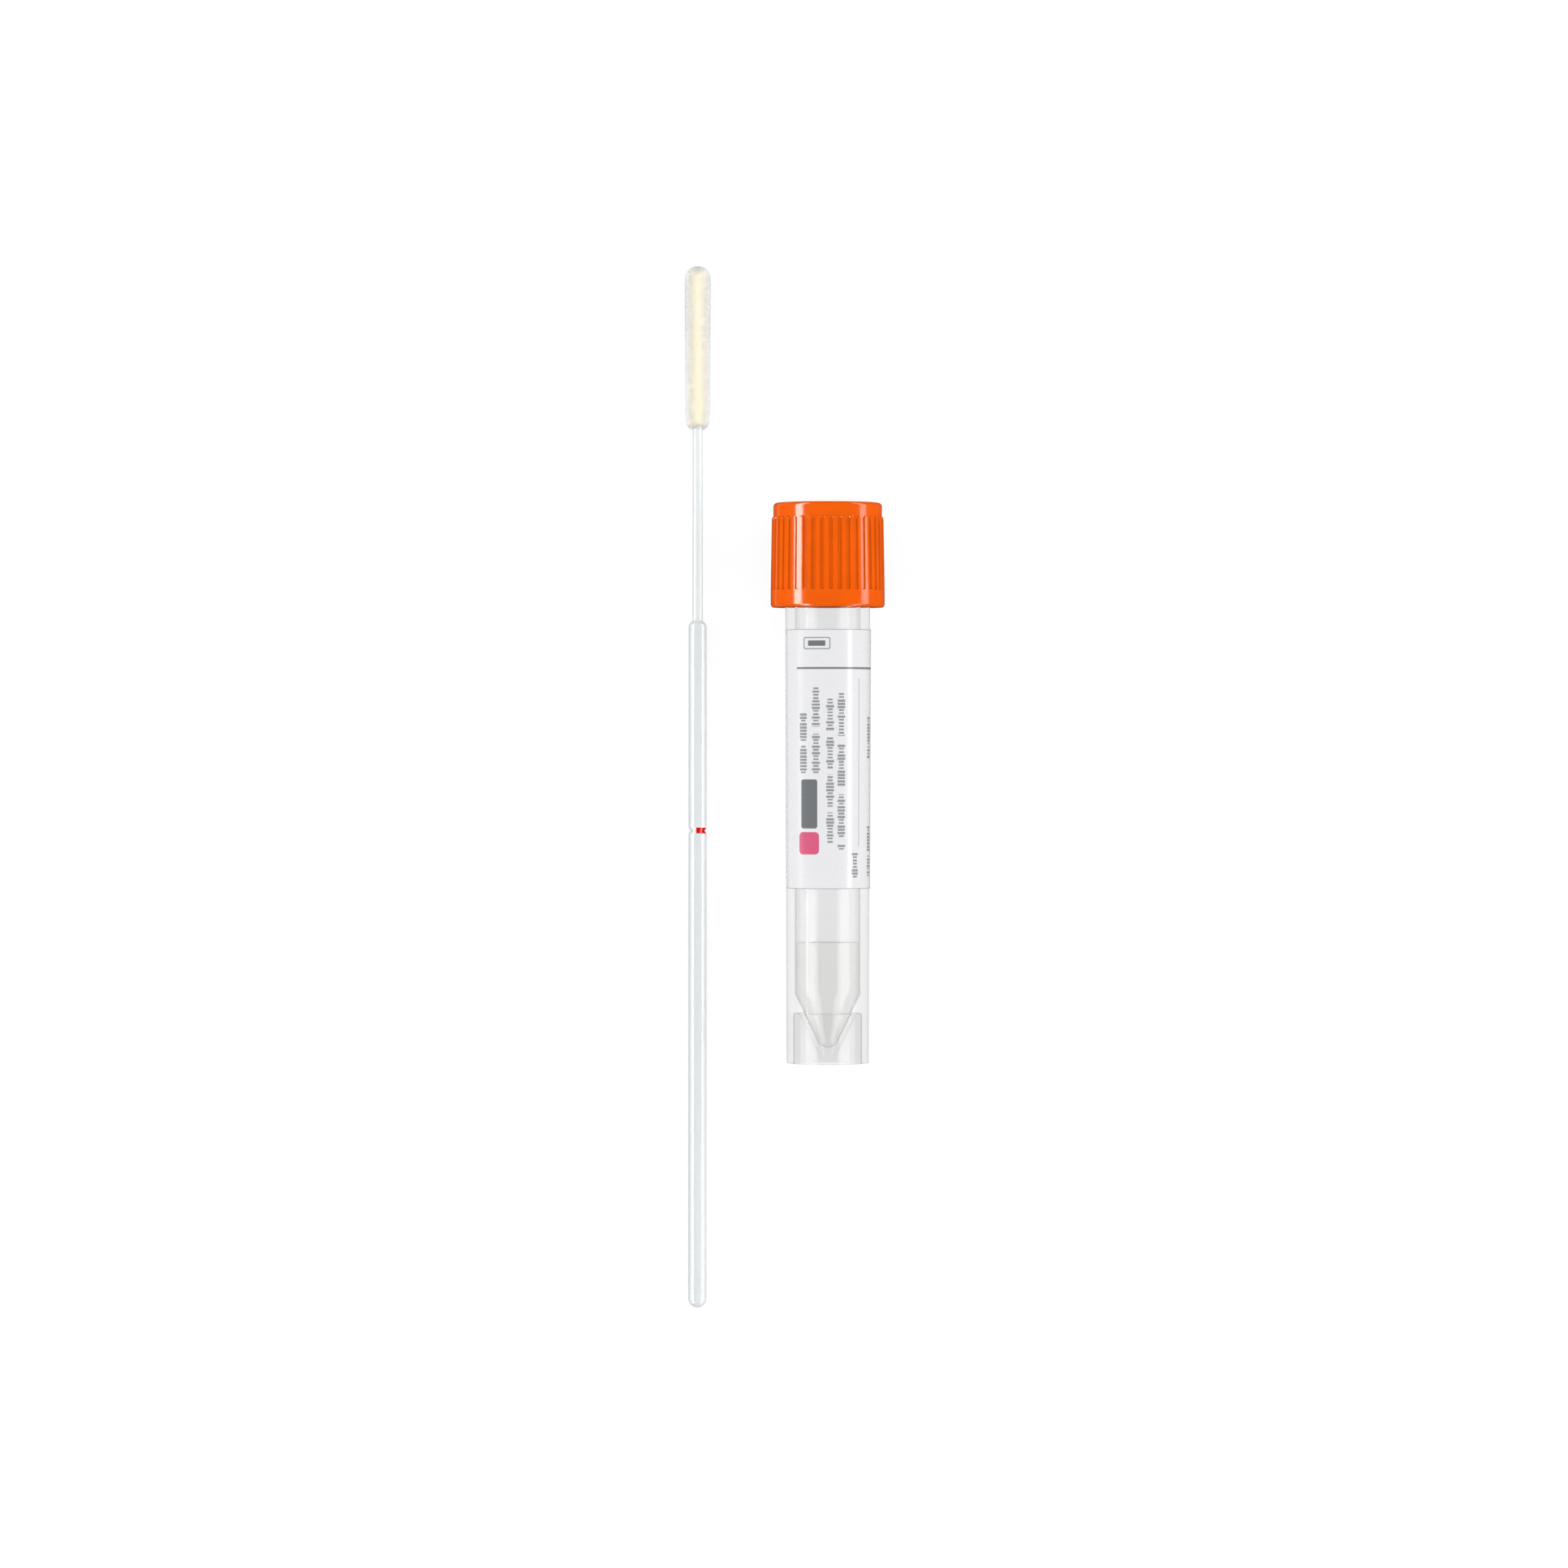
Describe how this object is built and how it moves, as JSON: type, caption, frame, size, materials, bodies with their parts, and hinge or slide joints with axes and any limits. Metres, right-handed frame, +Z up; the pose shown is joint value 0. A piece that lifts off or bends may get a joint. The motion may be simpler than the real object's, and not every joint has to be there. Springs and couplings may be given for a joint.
{
  "type": "specimen swab tube with flocked swab",
  "caption": "Clear self-standing screw-cap specimen tube with transport medium and a blank label, lying beside its flocked breakpoint swab.",
  "frame": {"origin": "centre of the pair's outline, on the surface that it lies on", "axes": "+Y along the swab towards its flocked tip and along the tube towards its cap, +X from the swab to the tube, +Z up"},
  "size_m": [0.0288, 0.15, 0.0166],
  "materials": {
    "clear_plastic": "clear, polished",
    "medium": "clear liquid, faintly grey",
    "label_film": "satin white film",
    "seal": "translucent white elastomer",
    "cap_plastic": "orange, satin",
    "shaft_plastic": "translucent white, glossy",
    "flock": "short upright fibres, cream white"
  },
  "bodies": {
    "tube_and_swab": {"tube": "clear_plastic", "transport_medium": "medium", "label": "label_film", "swab_shaft": "shaft_plastic", "flocked_tip": "flock"},
    "ring": {"sealing_ring": "seal"},
    "cap": {"screw_cap": "cap_plastic"}
  },
  "joints": [
    {"name": "cap_lift", "type": "slide", "parent": "tube_and_swab", "child": "ring", "axis": [0, 0.9994, 0.0352], "range_m": [0, 0.02401]},
    {"name": "cap_turn", "type": "hinge", "parent": "ring", "child": "cap", "pos_m": [0.00622, 0.04025, 0.00866], "axis": [0, 0.9994, 0.0352], "range_deg": [0, 1440]}
  ],
  "couplings": [
    {"joint": "cap_lift", "follows": "cap_turn", "m_per_rad": 0.00095493}
  ]
}
